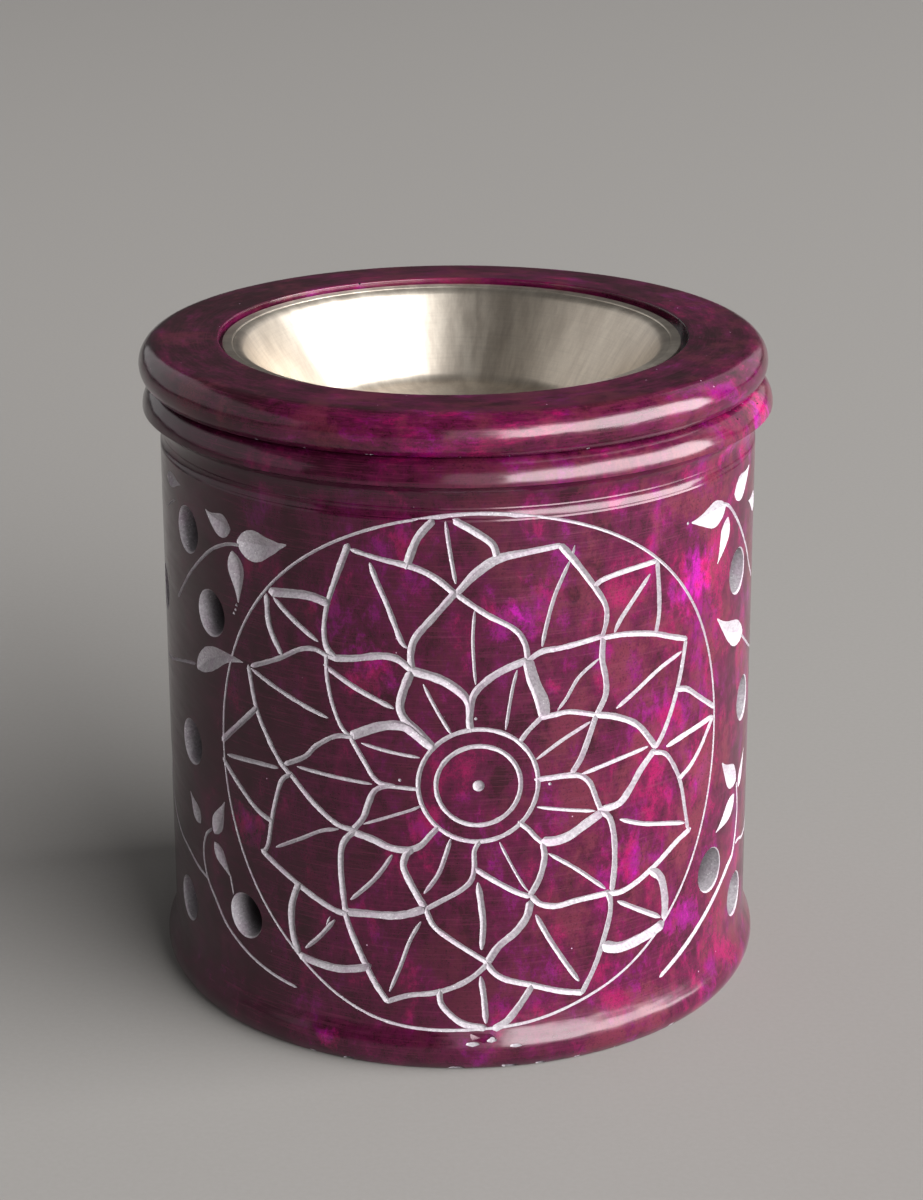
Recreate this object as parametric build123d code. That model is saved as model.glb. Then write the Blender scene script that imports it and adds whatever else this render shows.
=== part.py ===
from build123d import *
import os
from math import atan2, tan

# Essential oil burner: a turned and drilled soapstone pot, a loose stone ring on its top,
# a spun steel dish that hangs in the ring, and the tealight that heats it from below.
# Millimetres. +Z is up, the carved front faces -Y, the origin is the centre of the base.

# Steel dish
dish_diameter = 55.0
dish_rim_width = 2.0
dish_depth = 10.5
dish_floor_diameter = 37.0
dish_sheet = 0.6
dish_rim_bend = 1.2
dish_floor_bend = 2.5

# Stone ring, and how loosely the dish and the ring sit
ring_thickness = 4.7
ring_top_round = 2.7
ring_foot_setback = 1.05
ring_hole_round = 0.5
ring_setback = 0.2
rim_sunk = 0.6
dish_play = 0.7
ledge_room = 0.5
dish_shift_left = 0.2
dish_shift_front = 0.15
spigot_wall = 2.2
spigot_height = 2.4
spigot_chamfer = 0.4
spigot_play = 0.75
ring_shift_left = 0.5
ring_shift_back = 0.15

# Stone pot
pot_height = 75.1
pot_wall = 6.6
pot_floor = 8.0
bore_floor_round = 1.5
wall_flare = 0.3
flange_overhang = 1.8
flange_shoulder_round = 3.05
flange_underside_height = 3.3
quirk_height = 0.9
quirk_depth = 0.3
ring_groove_width = 0.35
ring_groove_depth = 0.25
foot_overhang = 1.07
foot_height = 8.8
foot_hollow_foot_height = 5.5
foot_slope_foot_height = 3.7
foot_slope_setback = 0.48
foot_base_setback = 0.86
foot_edge_round = 0.35
vent_diameter = 5.4

# Arch at the back, where the tealight goes in
arch_side_room = 3.0
arch_side_height = 20.0

# Tealight
tealight_diameter = 38.0
tealight_height = 15.0
cup_sheet = 0.4
cup_lip = 0.5
cup_lip_bend = 0.4
cup_floor_bend = 1.2
wax_below_lip = 1.8
wax_play = 0.05
wax_edge_round = 0.5
sustainer_diameter = 12.0
sustainer_sheet = 0.3
sustainer_neck_height = 3.0
sustainer_play = 0.1
wick_diameter = 1.6
wick_play = 0.05
wick_above_wax = 6.5
wick_tip_chamfer = 0.4

# Cutters reach this far past what they cut
overrun = 1.0

# Sizes that follow from the ones above
dish_rim_radius = dish_diameter / 2
dish_neck_radius = dish_rim_radius - dish_rim_width
ring_hole_radius = dish_rim_radius + dish_play
dish_floor_radius = dish_floor_diameter / 2
dish_wall_slope = atan2(dish_depth, dish_neck_radius - dish_floor_radius)
rim_bend_reach = dish_rim_bend * tan(dish_wall_slope / 2)
ring_ledge_radius = dish_neck_radius + rim_bend_reach + ledge_room
spigot_radius = ring_ledge_radius + spigot_wall
bore_radius = spigot_radius + spigot_play
wall_radius = bore_radius + pot_wall
wall_top_radius = wall_radius - wall_flare / 2
wall_foot_radius = wall_radius + wall_flare / 2
flange_radius = wall_radius + flange_overhang
ring_radius = flange_radius - ring_setback
foot_radius = wall_radius + foot_overhang
ring_top_z = pot_height + ring_thickness
rim_top_z = ring_top_z - rim_sunk
ledge_z = rim_top_z - dish_sheet
flange_widest_z = pot_height - flange_shoulder_round
flange_foot_z = flange_widest_z - flange_underside_height
quirk_foot_z = flange_foot_z - quirk_height
groove_foot_z = quirk_foot_z - ring_groove_width
tealight_radius = tealight_diameter / 2
arch_radius = tealight_radius + arch_side_room
arch_spring_z = pot_floor + arch_side_height
cup_inner_radius = tealight_radius - cup_lip - cup_sheet
cup_floor_z = pot_floor + cup_sheet
wax_top_z = pot_floor + tealight_height - wax_below_lip
neck_inner_radius = wick_diameter / 2 + wick_play
neck_outer_radius = neck_inner_radius + sustainer_sheet

# Vents: degrees round from the front, towards +X, and the share of the carved wall's height
vent_height_shares = [
    (-61.2, 0.884), (-52.9, 0.734), (-62.3, 0.424), (-44.7, 0.104), (-66.8, 0.050), (-79.5, 0.700),
    (-84.5, 0.305), (-97.5, 0.880), (-98.0, 0.095), (-103.5, 0.515), (-119.0, 0.780), (-121.0, 0.275),
    (66.4, 0.775), (72.4, 0.476), (56.5, 0.155), (69.6, 0.041), (90.0, 0.860),
    (88.5, 0.260), (98.0, 0.650), (97.0, 0.065), (109.0, 0.890), (112.5, 0.405), (127.0, 0.800),
]


def turned(outline):
    """The solid that an outline in the XZ plane sweeps when it is turned about Z."""
    return revolve(Plane.XZ * outline, Axis.Z)


def corner_at(outline, radius, height):
    """The corner of an outline that lies nearest to a radius and a height."""
    return outline.vertices().sort_by_distance((radius, height))[0]


def pressed_sheet(points, bends, sheet, x=0.0, y=0.0, z=0.0):
    """A round pressing: a sheet that follows points of (radius, height), bent at each corner."""
    path = FilletPolyline(*points, radius=bends)
    return Pos(x, y, z) * turned(trace(path, sheet))


def pot_outline():
    """Half section of the outside of the pot: foot, wall, turned groove, quirk, flange bead and flat seat."""
    base = (foot_radius - foot_base_setback, 0)
    slope_foot = (foot_radius, foot_slope_foot_height)
    slope_top = (foot_radius - foot_slope_setback, foot_hollow_foot_height)
    slope_drop = (slope_foot[0] - slope_top[0], slope_foot[1] - slope_top[1])
    wall_foot = (wall_foot_radius, foot_height)
    groove_foot = (wall_top_radius, groove_foot_z)
    groove_root = (wall_top_radius - ring_groove_depth, groove_foot_z + ring_groove_width / 2)
    quirk_foot = (wall_top_radius, quirk_foot_z)
    flange_foot = (wall_top_radius - quirk_depth, flange_foot_z)
    flange_widest = (flange_radius, flange_widest_z)
    flange_top = (flange_radius - flange_shoulder_round, pot_height)
    lines = [
        Line((0, 0), base),
        TangentArc(slope_foot, base, tangent=slope_drop),
        Line(slope_foot, slope_top),
        TangentArc(wall_foot, slope_top, tangent=(0, -1)),
        Polyline(wall_foot, groove_foot, groove_root, quirk_foot, flange_foot),
        TangentArc(flange_widest, flange_foot, tangent=(0, -1)),
        TangentArc(flange_widest, flange_top, tangent=(0, 1)),
        Polyline(flange_top, (0, pot_height), (0, 0)),
    ]
    return make_face(Curve() + lines)


def vent_drill(degrees_round, height_share):
    """A drill that goes from the bore out through the wall, square to it."""
    height = foot_height + height_share * (groove_foot_z - foot_height)
    reach = flange_radius + overrun
    start = bore_radius - overrun
    drill = Cylinder(vent_diameter / 2, reach - start, align=(Align.CENTER, Align.CENTER, Align.MIN))
    drill = Pos(0, 0, start) * drill
    return Pos(0, 0, height) * Rot(0, 0, degrees_round) * Rot(90, 0, 0) * drill


def arch_outline():
    """The rear arch: straight sides from the floor, and a half round top."""
    left_foot = (-arch_radius, pot_floor)
    left_spring = (-arch_radius, arch_spring_z)
    crown = (0, arch_spring_z + arch_radius)
    right_spring = (arch_radius, arch_spring_z)
    right_foot = (arch_radius, pot_floor)
    lines = [
        Polyline(right_spring, right_foot, left_foot, left_spring),
        ThreePointArc(left_spring, crown, right_spring),
    ]
    return make_face(Curve() + lines)


def make_stone_pot():
    """The pot: bored from the top, drilled for air all round, and arched at the back."""
    pot = turned(pot_outline())
    base_edge = pot.edges().sort_by(Axis.Z)[0]
    pot = fillet(base_edge, foot_edge_round)
    bore_depth = pot_height - pot_floor
    bore = Pos(0, 0, pot_floor) * Cylinder(
        bore_radius, bore_depth + overrun, align=(Align.CENTER, Align.CENTER, Align.MIN)
    )
    bore = fillet(bore.edges().sort_by(Axis.Z)[0], bore_floor_round)
    pot -= bore
    arch_depth = foot_radius + overrun
    pot -= extrude(Plane.XZ * arch_outline(), -arch_depth)
    pot -= [vent_drill(*place) for place in vent_height_shares]
    return pot


def ring_outline():
    """Half section of the ring: a bullnose outside, a ledge for the dish inside, and a spigot below."""
    spigot_foot_z = pot_height - spigot_height
    widest = (ring_radius, ring_top_z - ring_top_round)
    foot = (ring_radius - ring_foot_setback, pot_height)
    top = (ring_radius - ring_top_round, ring_top_z)
    lines = [
        TangentArc(widest, foot, tangent=(0, -1)),
        TangentArc(widest, top, tangent=(0, 1)),
        Polyline(
            top,
            (ring_hole_radius, ring_top_z),
            (ring_hole_radius, ledge_z),
            (ring_ledge_radius, ledge_z),
            (ring_ledge_radius, spigot_foot_z),
            (spigot_radius, spigot_foot_z),
            (spigot_radius, pot_height),
            foot,
        ),
    ]
    outline = make_face(Curve() + lines)
    outline = fillet(corner_at(outline, ring_hole_radius, ring_top_z), ring_hole_round)
    return chamfer(corner_at(outline, spigot_radius, spigot_foot_z), spigot_chamfer)


def make_top_ring():
    """The loose ring, a little off the pot's axis."""
    return Pos(-ring_shift_left, ring_shift_back, 0) * turned(ring_outline())


def make_steel_dish():
    """The dish: flat floor, straight sloping wall and flat rim, spun from one sheet."""
    half_sheet = dish_sheet / 2
    rim_z = rim_top_z - half_sheet
    floor_z = rim_top_z - dish_depth - half_sheet
    points = [
        (0, floor_z),
        (dish_floor_radius, floor_z),
        (dish_neck_radius, rim_z),
        (dish_rim_radius, rim_z),
    ]
    bends = [dish_floor_bend, dish_rim_bend]
    x = -ring_shift_left - dish_shift_left
    y = ring_shift_back - dish_shift_front
    return pressed_sheet(points, bends, dish_sheet, x, y)


def make_tealight_cup():
    """The tealight's pressed cup, with a rolled lip."""
    half_sheet = cup_sheet / 2
    side_radius = tealight_radius - cup_lip - half_sheet
    lip_z = tealight_height - half_sheet
    points = [
        (0, half_sheet),
        (side_radius, half_sheet),
        (side_radius, lip_z),
        (tealight_radius, lip_z),
    ]
    return pressed_sheet(points, [cup_floor_bend, cup_lip_bend], cup_sheet, z=pot_floor)


def make_tealight_wax():
    """The wax, cast round the sustainer and the wick."""
    radius = cup_inner_radius - wax_play
    disc_top_z = cup_floor_z + sustainer_sheet + sustainer_play
    neck_top_z = cup_floor_z + sustainer_neck_height + sustainer_play
    disc_radius = sustainer_diameter / 2 + sustainer_play
    neck_radius = neck_outer_radius + sustainer_play
    outline = make_face(
        Polyline(
            (neck_inner_radius, neck_top_z),
            (neck_radius, neck_top_z),
            (neck_radius, disc_top_z),
            (disc_radius, disc_top_z),
            (disc_radius, cup_floor_z),
            (radius, cup_floor_z),
            (radius, wax_top_z),
            (neck_inner_radius, wax_top_z),
            close=True,
        )
    )
    outline = fillet(corner_at(outline, radius, cup_floor_z), cup_floor_bend)
    outline = fillet(corner_at(outline, radius, wax_top_z), wax_edge_round)
    return turned(outline)


def make_wick_sustainer():
    """The tin disc and neck that hold the wick upright on the cup's floor."""
    neck_top_z = cup_floor_z + sustainer_neck_height
    disc_top_z = cup_floor_z + sustainer_sheet
    outline = make_face(
        Polyline(
            (neck_inner_radius, cup_floor_z),
            (sustainer_diameter / 2, cup_floor_z),
            (sustainer_diameter / 2, disc_top_z),
            (neck_outer_radius, disc_top_z),
            (neck_outer_radius, neck_top_z),
            (neck_inner_radius, neck_top_z),
            close=True,
        )
    )
    return turned(outline)


def make_wick():
    """The waxed cotton wick, from the cup's floor to above the wax."""
    height = wax_top_z + wick_above_wax - cup_floor_z
    wick = Pos(0, 0, cup_floor_z) * Cylinder(
        wick_diameter / 2, height, align=(Align.CENTER, Align.CENTER, Align.MIN)
    )
    return chamfer(wick.edges().sort_by(Axis.Z)[-1], wick_tip_chamfer)


def main():
    os.makedirs("parts", exist_ok=True)
    nodes = {
        "stone_pot": make_stone_pot(),
        "top_ring": make_top_ring(),
        "steel_dish": make_steel_dish(),
        "tealight_cup": make_tealight_cup(),
        "tealight_wax": make_tealight_wax(),
        "wick_sustainer": make_wick_sustainer(),
        "wick": make_wick(),
    }
    for name, solid in nodes.items():
        export_step(solid, f"parts/{name}.step")
        print(name, round(solid.volume / 1000, 2), "cm3")


main()
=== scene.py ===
import random
from collections import namedtuple
from math import atan2, ceil, cos, degrees, exp, hypot, pi, radians, sin, sqrt, tan

import bmesh
import bpy
from mathutils import Matrix, Vector, noise


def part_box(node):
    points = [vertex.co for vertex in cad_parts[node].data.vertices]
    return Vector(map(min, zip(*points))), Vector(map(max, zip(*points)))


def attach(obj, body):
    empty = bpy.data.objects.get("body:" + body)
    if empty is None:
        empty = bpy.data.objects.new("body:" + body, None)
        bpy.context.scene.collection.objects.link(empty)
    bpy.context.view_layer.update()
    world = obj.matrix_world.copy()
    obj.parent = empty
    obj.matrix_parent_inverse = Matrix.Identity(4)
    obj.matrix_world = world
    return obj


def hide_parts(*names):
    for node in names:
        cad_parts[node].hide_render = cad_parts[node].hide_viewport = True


# Dressed essential oil burner: a dyed soapstone pot with carved and drilled decoration, its loose
# ring, the spun dish and the tealight. Lengths are millimetres in the frame of the part, and
# become metres only where a mesh is made.

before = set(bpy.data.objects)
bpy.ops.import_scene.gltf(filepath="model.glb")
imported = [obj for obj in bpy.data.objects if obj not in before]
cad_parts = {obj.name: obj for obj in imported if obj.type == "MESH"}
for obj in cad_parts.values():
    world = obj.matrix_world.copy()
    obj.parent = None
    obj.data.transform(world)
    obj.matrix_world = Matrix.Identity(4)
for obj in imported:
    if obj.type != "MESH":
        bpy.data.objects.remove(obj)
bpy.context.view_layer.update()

MM = 0.001

# The photograph's viewpoint, and the lamps' distance in metres
camera_lens = 84
camera_place = Vector((0, -327.9, 163.2))
camera_aim = Vector((0.00107, 0.94123, -0.33775))
camera_roll = -0.0038
lamp_distance = 3.0


def box_in_mm(node):
    """Lowest and highest corner of a node of the frame, in millimetres."""
    low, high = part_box(node)
    return low / MM, high / MM


# Sizes read from the frame
pot_low, pot_high = box_in_mm("stone_pot")
ring_low, ring_high = box_in_mm("top_ring")
dish_low, dish_high = box_in_mm("steel_dish")
cup_low, cup_high = box_in_mm("tealight_cup")
wax_low, wax_high = box_in_mm("tealight_wax")
sustainer_low, sustainer_high = box_in_mm("wick_sustainer")
wick_low, wick_high = box_in_mm("wick")

pot_height = pot_high.z
flange_radius = (pot_high.x - pot_low.x) / 2
ring_centre = (ring_low + ring_high) / 2
ring_radius = (ring_high.x - ring_low.x) / 2
dish_centre = (dish_low + dish_high) / 2
dish_radius = (dish_high.x - dish_low.x) / 2
pot_floor = cup_low.z
cup_radius = (cup_high.x - cup_low.x) / 2
wax_radius = (wax_high.x - wax_low.x) / 2

# Profile of the pot
pot_wall = 6.6
bore_floor_round = 1.5
wall_flare = 0.3
flange_overhang = 1.8
flange_shoulder_round = 3.05
flange_underside_height = 3.3
quirk_height = 0.9
quirk_depth = 0.3
quirk_foot_wear = 0.02
turned_groove_width = 0.35
turned_groove_depth = 0.13
groove_lip_bevel = 0.2
cove_bead = 0.07
foot_overhang = 1.07
foot_height = 8.8
foot_hollow_foot_height = 5.1
foot_hollow_top_height = 7.9
foot_slope_foot_height = 3.6
foot_slope_setback = 0.58
foot_base_setback = 0.86
foot_edge_round = 0.35
wall_radius = flange_radius - flange_overhang
wall_top_radius = wall_radius - wall_flare / 2
wall_foot_radius = wall_radius + wall_flare / 2
bore_radius = wall_radius - pot_wall
foot_radius = wall_radius + foot_overhang
flange_widest_z = pot_height - flange_shoulder_round
flange_foot_z = flange_widest_z - flange_underside_height
quirk_foot_z = flange_foot_z - quirk_height
turned_groove_foot_z = quirk_foot_z - turned_groove_width

# Openings of the pot
vent_radius = 2.7
vent_edge_wear = 0.18
arch_side_room = 3.0
arch_side_height = 20.0
arch_edge_wear = 0.5
arch_radius = cup_radius + arch_side_room

# Profile of the ring
ring_top_round = 2.7
ring_foot_setback = 1.05
ring_hole_round = 0.2
ring_ledge_width = 1.56
spigot_wall = 2.2
spigot_chamfer = 0.4
rim_sunk = 0.6
dish_play = 0.7

# Profile of the dish
dish_rim_width = 2.0
dish_rim_step = 0.14
dish_rim_edge = 1.05
dish_floor_radius = 18.5
dish_sheet = 0.6
dish_rim_bend = 1.2
dish_floor_bend = 2.5

# Radius at which lengths round the carving's drawing are measured
carving_radius = (wall_top_radius + wall_foot_radius) / 2 + 0.1

# An arc of a profile has a row of corners every so many degrees
profile_step = radians(4)

# A corner of a profile that is nearer to the axis than this is a tip
axis_reach = 1e-4


def camera_and_light():
    """The photograph's viewpoint, a strong soft lamp on the right, a dim rim round it, and two dim ones."""
    camera = bpy.data.objects.new("camera", bpy.data.cameras.new("camera"))
    camera.data.lens = camera_lens
    camera.data.sensor_width = 36
    camera.data.clip_start = 0.01
    level = camera_aim.to_track_quat("-Z", "Y").to_matrix().to_4x4()
    turn = level @ Matrix.Rotation(camera_roll, 4, "Z")
    camera.matrix_world = Matrix.Translation(camera_place * MM) @ turn
    bpy.context.scene.collection.objects.link(camera)
    bpy.context.scene.camera = camera

    soft_panel("key", azimuth=59, low=1.5, high=42, width=86, power=515)
    soft_panel("spill", azimuth=48, low=0, high=50, width=104, power=112)
    soft_panel("fill", azimuth=-107, low=5, high=45, width=104, power=34)
    soft_panel("rear", azimuth=136, low=5, high=45, width=40, power=12)

    world = bpy.data.worlds.new("studio")
    world.use_nodes = True
    background = world.node_tree.nodes["Background"].inputs
    background["Color"].default_value = (0.46, 0.455, 0.45, 1)
    background["Strength"].default_value = 0.16
    bpy.context.scene.world = world
    bpy.context.scene.view_settings.view_transform = "Standard"


def soft_panel(name, azimuth, low, high, width, power):
    """An upright panel that faces the pot: its middle's azimuth, and the angles that it fills."""
    above_floor = 0.002
    light = bpy.data.lights.new(name, "AREA")
    light.shape = "RECTANGLE"
    foot = lamp_distance * tan(radians(low))
    head = lamp_distance * tan(radians(high))
    light.size = 2 * lamp_distance * tan(radians(width / 2))
    light.size_y = head - foot
    light.energy = power
    lamp = bpy.data.objects.new(name, light)
    lamp.visible_camera = False
    outward = Vector((sin(radians(azimuth)), -cos(radians(azimuth)), 0))
    lamp.location = outward * lamp_distance + Vector((0, 0, (foot + head) / 2 + above_floor))
    lamp.rotation_euler = outward.to_track_quat("Z", "Y").to_euler()
    bpy.context.scene.collection.objects.link(lamp)


def make_floor():
    """A wide plain pale disc under the pot."""
    mesh = bpy.data.meshes.new("floor")
    bm = bmesh.new()
    bmesh.ops.create_circle(bm, cap_ends=True, segments=128, radius=12.0)
    bm.to_mesh(mesh)
    bm.free()
    floor = bpy.data.objects.new("floor", mesh)
    bpy.context.scene.collection.objects.link(floor)
    paper = Nodes("floor_paper")
    grain = paper.noise(1.5, detail=4)
    tone = paper.mix(grain, "898683", "8f8c89")
    floor.data.materials.append(paper.surface(tone, roughness=0.9, specular=0.2))


# Node trees

def srgb(code):
    """Linear colour from six hexadecimal digits."""
    parts = [int(code[i:i + 2], 16) / 255 for i in (0, 2, 4)]
    linear = [part / 12.92 if part <= 0.04045 else ((part + 0.055) / 1.055) ** 2.4 for part in parts]
    return (*linear, 1)


class Nodes:
    """Short calls that build one material, on coordinates in millimetres."""

    def __init__(self, name, shift=(0, 0, 0)):
        self.material = bpy.data.materials.new(name)
        self.material.use_nodes = True
        self.tree = self.material.node_tree
        self.tree.nodes.clear()
        place = self.add("ShaderNodeTexCoord").outputs["Object"]
        self.place = self.vector("MULTIPLY_ADD", place, (1 / MM,) * 3, shift)

    def add(self, kind, inputs=None, **settings):
        """A node, with its settings, and its inputs given as values or as other nodes' outputs."""
        node = self.tree.nodes.new(kind)
        for key, value in settings.items():
            setattr(node, key, value)
        for key, value in (inputs or {}).items():
            if isinstance(value, bpy.types.NodeSocket):
                self.tree.links.new(value, node.inputs[key])
            else:
                node.inputs[key].default_value = value
        return node

    def math(self, operation, first, second=0.0, third=0.0):
        return self.add("ShaderNodeMath", {0: first, 1: second, 2: third}, operation=operation).outputs[0]

    def fitted(self, value, gain, lift=0.0):
        """A value times a gain, plus a lift."""
        return self.math("MULTIPLY_ADD", value, gain, lift)

    def vector(self, operation, first, second=(0, 0, 0), third=(0, 0, 0)):
        node = self.add("ShaderNodeVectorMath", {0: first, 1: second, 2: third}, operation=operation)
        return node.outputs["Value" if operation == "DISTANCE" else "Vector"]

    def scaled(self, x, y, z, shift=(0, 0, 0)):
        return self.vector("MULTIPLY_ADD", self.place, (x, y, z), shift)

    def combine(self, x, y, z=0.0):
        return self.add("ShaderNodeCombineXYZ", {0: x, 1: y, 2: z}).outputs[0]

    def from_axis(self, centre=(0, 0)):
        """Distance from an upright axis."""
        flat = self.vector("MULTIPLY", self.place, (1, 1, 0))
        return self.vector("DISTANCE", flat, (centre[0], centre[1], 0))

    def around(self, centre=(0, 0)):
        """The angle round an upright axis, and the height."""
        away = self.vector("SUBTRACT", self.place, (centre[0], centre[1], 0))
        parts = self.add("ShaderNodeSeparateXYZ", {0: away}).outputs
        return self.math("ARCTAN2", parts[1], parts[0]), parts[2]

    def noise(self, scale, detail=3.0, roughness=0.5, distortion=0.0, at=None, layer=None):
        """Noise at a place, and with a layer, another slice of it for each of the layer's values."""
        inputs = {"Vector": at or self.place, "Scale": scale, "Detail": detail,
                  "Roughness": roughness, "Distortion": distortion}
        if layer is None:
            return self.add("ShaderNodeTexNoise", inputs).outputs["Fac"]
        inputs["W"] = layer
        return self.add("ShaderNodeTexNoise", inputs, noise_dimensions="4D").outputs["Fac"]

    def cells(self, scale, at=None):
        """Distance to the middle of the nearest cell, and a colour that is chance for each cell."""
        node = self.add("ShaderNodeTexVoronoi", {"Vector": at or self.place, "Scale": scale})
        return node.outputs["Distance"], node.outputs["Color"]

    def ramp(self, value, low, high, start=0.0, end=1.0):
        """The value's range from low to high, as a smooth step from start to end."""
        inputs = {"Value": value, "From Min": low, "From Max": high, "To Min": start, "To Max": end}
        return self.add("ShaderNodeMapRange", inputs, interpolation_type="SMOOTHSTEP").outputs["Result"]

    def mix(self, share, first, second):
        """A share of the second colour over the first. A colour may be six hexadecimal digits."""
        first, second = (srgb(colour) if isinstance(colour, str) else colour for colour in (first, second))
        inputs = {"Factor": share, 6: first, 7: second}
        return self.add("ShaderNodeMix", inputs, data_type="RGBA").outputs[2]

    def bump(self, height, depth, under=None):
        """A bump whose full height is a depth in millimetres."""
        inputs = {"Height": height, "Distance": depth * MM, "Strength": 1.0}
        if under is not None:
            inputs["Normal"] = under
        return self.add("ShaderNodeBump", inputs).outputs["Normal"]

    def turning(self, strength):
        """Shader settings that draw each reflection out across lines that run round an upright axis."""
        tangent = self.add("ShaderNodeTangent", direction_type="RADIAL", axis="Z").outputs[0]
        return {"anisotropic": strength, "anisotropic_rotation": 0.25, "tangent": tangent}

    def surface(self, colour, roughness, normal=None, specular=0.5, ior=1.5, **more):
        """Ends the tree with its shader, and gives the material."""
        inputs = {"Base Color": colour, "Roughness": roughness, "IOR": ior, "Specular IOR Level": specular}
        if normal is not None:
            inputs["Normal"] = normal
        inputs.update({key.replace("_", " ").title(): value for key, value in more.items()})
        shader = self.add("ShaderNodeBsdfPrincipled", inputs)
        self.add("ShaderNodeOutputMaterial", {"Surface": shader.outputs["BSDF"]})
        return self.material


def on_wall(along, height, proud=0.0):
    """The place of a point of the carving's drawing, so far round from the front and so high up."""
    angle = along / carving_radius
    radius = outside_radius(height) + proud
    return Vector((radius * sin(angle), -radius * cos(angle), height))


# Places, round from the front and up, where the dye took brightly, with their size and strength
bright_dye = [
    (-10.0, 49.5, 3.2, 0.9), (-14.0, 56.0, 3.0, 0.5), (-28.0, 27.0, 2.6, 0.8), (30.5, 56.0, 3.0, 0.8),
    (30.0, 14.0, 2.5, 0.6), (33.0, 32.0, 3.0, 0.7), (34.0, 58.0, 3.0, 0.6), (9.0, 57.5, 2.8, 0.5),
    (5.5, 55.5, 2.4, 0.5), (26.0, 40.5, 3.5, 0.5), (-3.5, 31.0, 2.4, 0.5), (20.5, 24.0, 2.8, 0.5),
    (-6.0, 66.0, 2.5, 0.4), (44.0, 73.0, 4.0, 0.9), (38.0, 70.5, 1.8, 0.8), (-15.6, 2.8, 1.3, 1.3),
]


def dyed_stone(name, shift, centre, brown_share, stretch, gain=1.0, lift=0.0, patches=()):
    """Soapstone dyed deep purple and polished: clouded dye, fine turning lines and pale specks, with
    painted light that brightens it towards the right and painted shade that darkens it towards the left.
    """
    stone = Nodes(name, shift)
    radius = stone.from_axis(centre)
    flow = stone.scaled(*stretch)
    cloud = stone.noise(0.16, detail=5, roughness=0.62, distortion=0.5, at=flow, layer=radius)
    blotch = stone.noise(0.55, detail=7, roughness=0.74, distortion=0.3, at=flow, layer=radius)
    hue = stone.noise(0.2, detail=4, roughness=0.6, at=stone.scaled(1, 1, 0.7, (31, 7, 12)))
    brown = stone.noise(0.12, detail=7, roughness=0.74, at=stone.scaled(1, 1, 0.7, (-17, 43, 5)))
    grain = stone.noise(3.4, detail=3, roughness=0.7)
    turned_lines = stone.noise(5.5, detail=3, roughness=0.7, at=stone.scaled(0.03, 0.03, 1), layer=radius)

    strength = stone.fitted(blotch, 0.6, stone.fitted(cloud, 0.6))
    strength = stone.fitted(grain, 0.34, strength)
    usual = 0.77
    strength = stone.fitted(strength, gain, lift - 0.17 - usual * (gain - 1))
    to_right = stone.add("ShaderNodeSeparateXYZ", {0: stone.place}).outputs[0]
    # Painted light: the dye grows stronger and brighter towards the right, the side the lamp lights.
    strength = stone.fitted(to_right, 0.0012, strength)
    for along, up, reach, bright in patches:
        place = on_wall(along, up) + Vector(shift)
        away = stone.vector("DISTANCE", stone.place, tuple(place))
        away = stone.fitted(stone.math("SUBTRACT", blotch, 0.5), -reach * 3, away)
        near = stone.ramp(away, 0.0, reach * 1.5, bright * 0.36, 0.0)
        strength = stone.math("ADD", strength, near)
    magenta = stone.mix(stone.ramp(hue, 0.42, 0.60), "7c0842", "6c0658")
    vivid = stone.mix(stone.ramp(hue, 0.40, 0.56), "a00a56", "92047c")
    colour = stone.mix(stone.ramp(strength, 0.46, 0.64), "260410", "46082a")
    colour = stone.mix(stone.ramp(strength, 0.62, 0.78), colour, magenta)
    colour = stone.mix(stone.ramp(strength, 0.80, 0.94), colour, vivid)
    # Painted light: the brown clouding turns lighter towards the right, the lit side.
    brown_painted_lighter_right = stone.mix(stone.ramp(to_right, -20, 30), "34091c", "5c2230")
    colour = stone.mix(stone.ramp(brown, 0.47, 0.62, 0.0, brown_share), colour, brown_painted_lighter_right)
    # Painted shade: the colour darkens towards the left, the side away from the lamp.
    painted_left_shade = stone.ramp(to_right, -flange_radius, flange_radius, 0.45, 0.0)
    colour = stone.mix(painted_left_shade, colour, "12030c")
    colour = stone.mix(stone.ramp(grain, 0.48, 0.70, 0.0, 0.6), colour, "16030d")
    colour = stone.mix(stone.ramp(turned_lines, 0.45, 0.8, 0.0, 0.35), colour, "66243f")

    away, chance = stone.cells(1.3)
    lucky = stone.ramp(chance, 0.92, 0.925)
    speck = stone.math("MULTIPLY", stone.ramp(away, 0.06, 0.15, 1.0, 0.0), lucky)
    colour = stone.mix(stone.fitted(speck, 0.7), colour, "c9a0bb")

    swell = stone.noise(0.22, detail=2, at=stone.scaled(0.5, 0.5, 1.4))
    normal = stone.bump(swell, 0.18)
    normal = stone.bump(turned_lines, 0.003, normal)
    gloss = stone.fitted(turned_lines, 0.3, 0.02)
    rosy = (1.0, 0.84, 0.87, 1.0)
    return stone.surface(colour, gloss, normal, ior=1.52, specular_tint=rosy, **stone.turning(0.5))


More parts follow.
